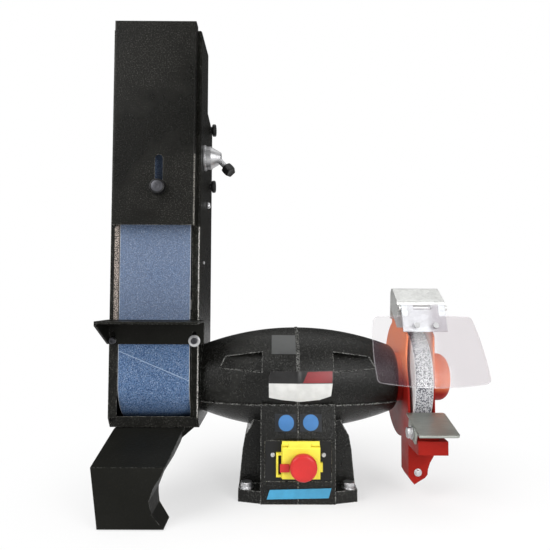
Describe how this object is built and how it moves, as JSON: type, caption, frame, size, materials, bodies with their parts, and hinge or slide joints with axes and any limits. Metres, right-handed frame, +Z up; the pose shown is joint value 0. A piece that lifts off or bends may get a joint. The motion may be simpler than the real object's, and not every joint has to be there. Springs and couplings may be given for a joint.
{
  "type": "bench belt sander and grinder",
  "caption": "Combination bench machine: upright sanding belt on a tilting arm at the left, guarded grinding wheel with eye shield at the right, one motor on a pedestal.",
  "frame": {"origin": "on the bench under the middle of the pedestal", "axes": "+Z up, +X to the operator's right along the spindle, -Y towards the operator"},
  "size_m": [0.5278, 0.252, 0.669],
  "materials": {
    "cast_black": "textured black paint on a casting",
    "hammer_black": "hammered black paint on sheet steel",
    "guard_red": "gloss red paint",
    "abrasive_blue": "blue abrasive cloth",
    "wheel_grey": "grey bonded abrasive",
    "zinc": "zinc plated sheet",
    "clear": "clear plastic sheet",
    "fastener": "zinc plated",
    "steel": "machined steel",
    "drum_aluminium": "turned aluminium",
    "core_iron": "laminated iron",
    "copper": "varnished copper wire",
    "black_plastic": "moulded black plastic",
    "yellow_plastic": "yellow moulded plastic",
    "red_plastic": "red moulded plastic",
    "green_plastic": "green moulded plastic"
  },
  "bodies": {
    "base": {"housing_left": "cast_black", "housing_right": "cast_black", "wheel_guard": "guard_red", "guard_cover": "guard_red", "bottom_plate": "zinc", "tie_bolts": "fastener", "tie_nuts": "fastener", "bottom_plate_screws": "fastener", "foot_bolts": "fastener", "clamp_ring_screws": "fastener", "guard_screws": "fastener", "bracket_bolts": "fastener", "tool_rest_bolt": "fastener", "switch_plate_screws": "fastener", "lid_hinge_pin": "fastener", "arm_clamp_ring": "steel", "motor_bearings": "steel", "stator_core": "core_iron", "stator_windings": "copper", "cable_gland": "black_plastic", "switch_plate": "black_plastic", "capacitor": "black_plastic", "switch_base": "yellow_plastic"},
    "spindle": {"shaft": "steel", "rotor_core": "core_iron", "drive_drum": "drum_aluminium", "spindle_nuts": "fastener", "grinding_wheel": "wheel_grey", "wheel_flanges": "steel"},
    "arm": {"arm_main_plate": "hammer_black", "arm_side_cover": "hammer_black", "arm_back_cover": "hammer_black", "side_cover_screws": "fastener", "guide_bolts": "black_plastic", "platen": "steel", "sanding_belt": "abrasive_blue", "slider_rails": "steel", "cover_bridge": "hammer_black", "work_rest_bolts": "fastener", "dust_chute": "hammer_black"},
    "lever": {"tension_lever": "steel", "lever_knob": "black_plastic"},
    "slider": {"tension_slider": "steel", "idler_axle": "steel"},
    "idler": {"idler_roller": "steel"},
    "front_cover": {"front_cover": "hammer_black"},
    "cover_knob": {"cover_knob": "black_plastic"},
    "work_rest": {"work_rest": "hammer_black"},
    "bracket": {"spark_bracket": "zinc", "shield_pin": "fastener"},
    "shield": {"shield_strap": "zinc", "eye_shield": "clear", "shield_screws": "fastener"},
    "rest_clamp": {"rest_clamp_washer": "fastener"},
    "tool_rest": {"tool_rest": "zinc"},
    "lid": {"switch_lid": "yellow_plastic"},
    "mushroom": {"mushroom_button": "red_plastic"},
    "latch": {"lid_latch": "red_plastic"},
    "start": {"start_button": "green_plastic"},
    "stop": {"stop_button": "red_plastic"}
  },
  "joints": [
    {"name": "spindle_spin", "type": "hinge", "parent": "base", "child": "spindle", "pos_m": [0, 0, 0.161], "axis": [1, 0, 0], "continuous": true},
    {"name": "arm_tilt", "type": "hinge", "parent": "base", "child": "arm", "pos_m": [-0.2015, 0, 0.161], "axis": [-1, 0, 0], "range_deg": [0, 90]},
    {"name": "tension_lever", "type": "hinge", "parent": "arm", "child": "lever", "pos_m": [-0.1385, -0.024, 0.488], "axis": [1, 0, 0], "range_deg": [0, 90]},
    {"name": "idler_tension", "type": "slide", "parent": "arm", "child": "slider", "axis": [0, 0, 1], "range_m": [-0.00848, 0]},
    {"name": "idler_spin", "type": "hinge", "parent": "slider", "child": "idler", "pos_m": [-0.2015, -0.03, 0.62486], "axis": [1, 0, 0], "continuous": true},
    {"name": "front_cover_slide", "type": "slide", "parent": "arm", "child": "front_cover", "axis": [0, 0, 1], "range_m": [-0.04, 0]},
    {"name": "cover_knob_turn", "type": "hinge", "parent": "arm", "child": "cover_knob", "pos_m": [-0.1945, -0.085, 0.4315], "axis": [0, -1, 0], "range_deg": [0, 180]},
    {"name": "work_rest_slide", "type": "slide", "parent": "arm", "child": "work_rest", "axis": [0, 0, 1], "range_m": [-0.01, 0]},
    {"name": "spark_gap_slide", "type": "slide", "parent": "base", "child": "bracket", "axis": [0, 1, 0], "range_m": [0, 0.004]},
    {"name": "eye_shield_lift", "type": "hinge", "parent": "bracket", "child": "shield", "pos_m": [0.172, -0.0544, 0.2655], "axis": [-1, 0, 0], "range_deg": [0, 60]},
    {"name": "tool_rest_tilt", "type": "hinge", "parent": "base", "child": "rest_clamp", "pos_m": [0.152, -0.095, 0.101], "axis": [1, 0, 0], "range_deg": [-5, 15]},
    {"name": "tool_rest_slide", "type": "slide", "parent": "rest_clamp", "child": "tool_rest", "axis": [0, -0.9703, -0.2419], "range_m": [0, 0.01]},
    {"name": "switch_lid_lift", "type": "hinge", "parent": "base", "child": "lid", "pos_m": [0.0015, -0.088, 0.084], "axis": [-1, 0, 0], "range_deg": [0, 110]},
    {"name": "mushroom_push", "type": "slide", "parent": "lid", "child": "mushroom", "axis": [0, 1, 0], "range_m": [0, 0.003], "stiffness_N_per_m": 400},
    {"name": "lid_latch_slide", "type": "slide", "parent": "lid", "child": "latch", "axis": [1, 0, 0], "range_m": [-0.003, 0]},
    {"name": "start_push", "type": "slide", "parent": "base", "child": "start", "axis": [0, 1, 0], "range_m": [0, 0.003], "stiffness_N_per_m": 400},
    {"name": "stop_push", "type": "slide", "parent": "base", "child": "stop", "axis": [0, 1, 0], "range_m": [0, 0.003], "stiffness_N_per_m": 400}
  ],
  "couplings": [
    {"joint": "tension_lever", "follows": "idler_tension", "rad_per_m": -185.13},
    {"joint": "idler_spin", "follows": "spindle_spin", "ratio": 2}
  ]
}
